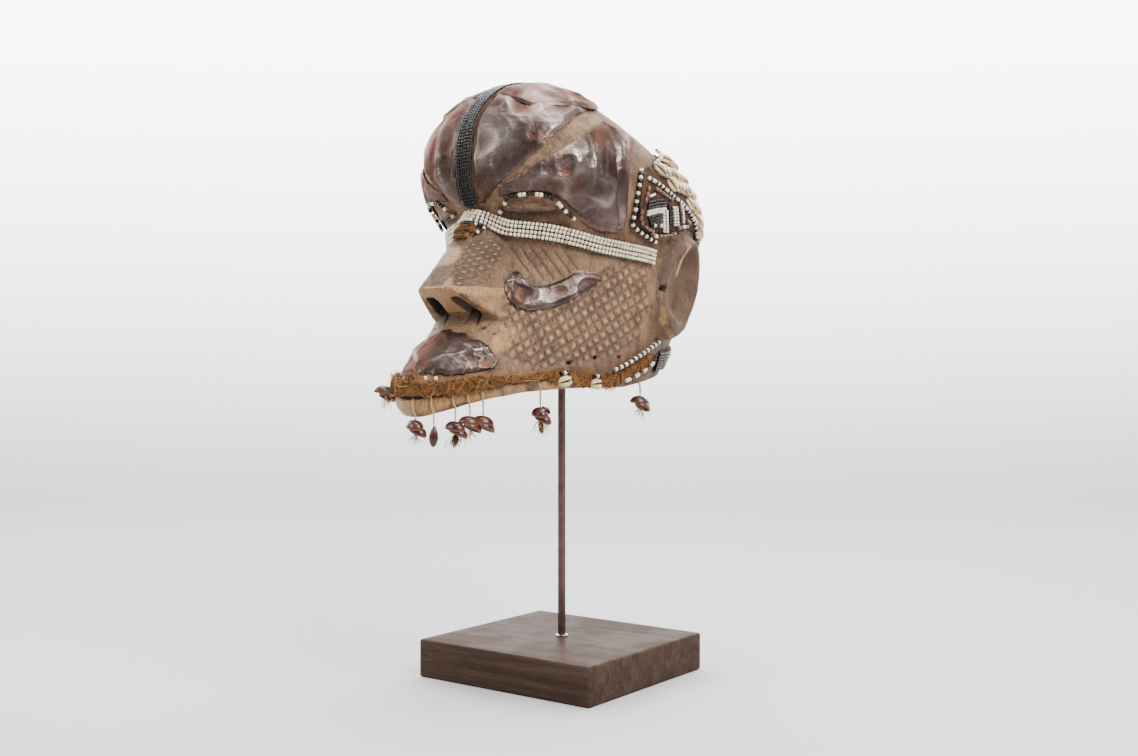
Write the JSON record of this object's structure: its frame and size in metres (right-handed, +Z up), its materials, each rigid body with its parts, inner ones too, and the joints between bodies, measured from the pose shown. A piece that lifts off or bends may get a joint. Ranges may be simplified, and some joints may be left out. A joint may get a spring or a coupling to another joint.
{
  "type": "kuba bwoom mask",
  "caption": "Carved wooden bwoom helmet mask with copper sheet, bead bands, cowrie cloth and seed pendants, held up by a rod on a wooden plinth.",
  "frame": {"origin": "centre of the plinth underside, under the rod", "axes": "+Z up, the mask faces -Y, +X is the side that the picture shows"},
  "size_m": [0.2476, 0.398, 0.5954],
  "materials": {
    "dark_wood": "dark stained and waxed, worn along the edges",
    "carved_wood": "old carved wood with brown patina, dusty in the hatching and worn pale on the nose, ears and lip",
    "iron": "brown patinated iron bar",
    "solder": "small bright ring",
    "copper": "thin sheet copper, tarnished dark with violet grey and red brown patches, crumpled and glossy",
    "black_beads": "small black glass beads in rows",
    "white_beads": "small off-white glass beads, with black ones among them in the strings",
    "cloth": "brown worn cloth with cowries and beads sewn on",
    "raffia": "golden brown raffia fibre, frayed",
    "cowrie": "cream cowrie shell, ground open",
    "seed_shell": "glossy dark brown seed shells on raffia cord"
  },
  "bodies": {
    "root": {"plinth": "dark_wood", "rod": "iron", "rod_collar": "solder", "mask": "carved_wood", "centre_sheet_near": "copper", "centre_sheet_far": "copper", "temple_sheet_near": "copper", "temple_sheet_far": "copper", "temple_strip_near": "copper", "temple_strip_far": "copper", "cheek_leaf_near": "copper", "cheek_leaf_far": "copper", "lip_sheet": "copper", "black_band": "black_beads", "white_band": "white_beads", "bridge_tie": "raffia", "eye_string_near": "white_beads", "eye_string_far": "white_beads", "cloth_string_near": "white_beads", "cloth_string_far": "white_beads", "ear_string_upper_near": "white_beads", "ear_string_upper_far": "white_beads", "ear_string_lower_near": "white_beads", "ear_string_lower_far": "white_beads", "back_cloth": "cloth", "nape_cloth": "cloth", "fibre_trim": "raffia", "jaw_cowrie_near_1": "cowrie", "jaw_cowrie_far_1": "cowrie", "jaw_cowrie_near_2": "cowrie", "jaw_cowrie_far_2": "cowrie", "pendant_1": "seed_shell", "pendant_2": "seed_shell", "pendant_3": "seed_shell", "pendant_4": "seed_shell", "pendant_5": "seed_shell", "pendant_6": "seed_shell", "pendant_7": "seed_shell", "pendant_8": "seed_shell"}
  },
  "joints": []
}
